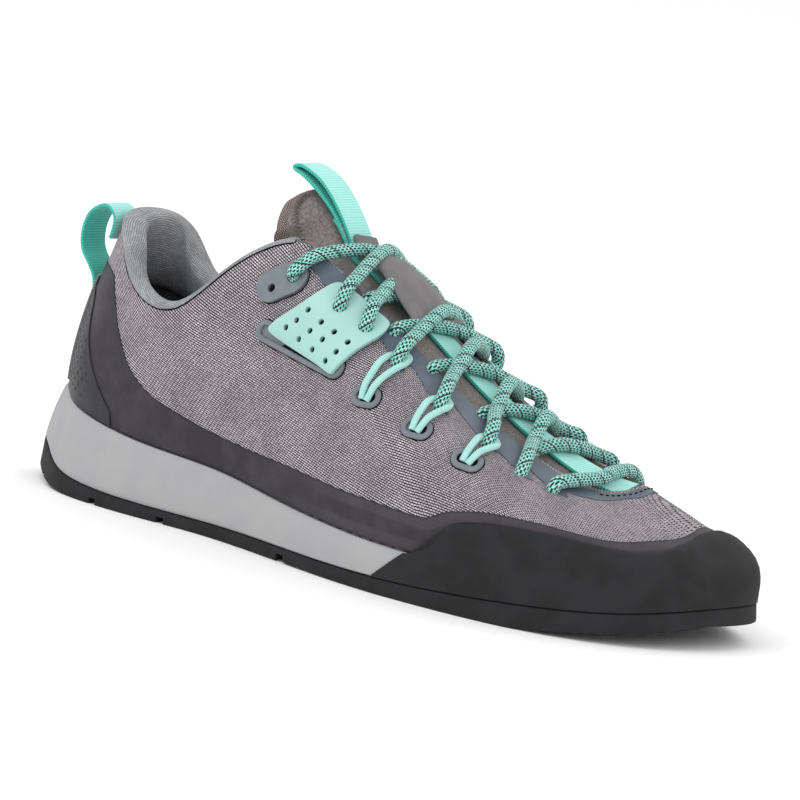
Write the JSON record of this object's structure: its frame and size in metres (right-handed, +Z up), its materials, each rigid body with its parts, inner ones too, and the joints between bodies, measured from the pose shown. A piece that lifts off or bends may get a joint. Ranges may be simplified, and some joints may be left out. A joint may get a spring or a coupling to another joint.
{
  "type": "approach shoe",
  "caption": "Low lace-up approach shoe for the right foot: knitted upper, rubber rand and lugged outsole, foam midsole, webbing and moulded lace holders.",
  "frame": {"origin": "under the middle of the shoe's box, on the floor that it stands on", "axes": "+X from heel to toe, +Y to the inner (medial) side, +Z up"},
  "size_m": [0.2716, 0.0954, 0.1198],
  "materials": {
    "knit": "knitted textile, grey with dark flecks",
    "lining": "soft lining cloth",
    "film": "matt film",
    "counter": "matt film with raised dots",
    "heel_tape": "woven tape",
    "midsole_foam": "matt foam",
    "rubber": "matt rubber",
    "eyestay": "smooth film",
    "moulded": "satin moulded plastic",
    "moulded_mint": "satin moulded plastic",
    "webbing": "ribbed webbing",
    "lace": "round braided cord",
    "tongue": "brushed textile"
  },
  "bodies": {
    "root": {"collar": "lining", "eyestay": "eyestay", "foxing_film": "film", "heel_counter": "counter", "heel_pull_loop": "webbing", "heel_tape": "heel_tape", "insole": "lining", "lace": "lace", "lace_loop_lateral_1": "webbing", "lace_loop_lateral_2": "webbing", "lace_loop_lateral_3": "webbing", "lace_loop_medial_1": "webbing", "lace_loop_medial_2": "webbing", "lace_loop_medial_3": "webbing", "lace_plate_lateral": "moulded", "lace_plate_medial": "moulded", "lace_wing_lateral": "moulded_mint", "lace_wing_medial": "moulded_mint", "loop_frame_lateral_1": "moulded", "loop_frame_lateral_2": "moulded", "loop_frame_lateral_3": "moulded", "loop_frame_medial_1": "moulded", "loop_frame_medial_2": "moulded", "loop_frame_medial_3": "moulded", "midsole": "midsole_foam", "outsole": "rubber", "rand": "rubber", "tongue": "tongue", "tongue_keeper": "moulded", "tongue_webbing": "webbing", "upper": "knit", "wing_frame_lateral": "moulded", "wing_frame_medial": "moulded"}
  },
  "joints": []
}
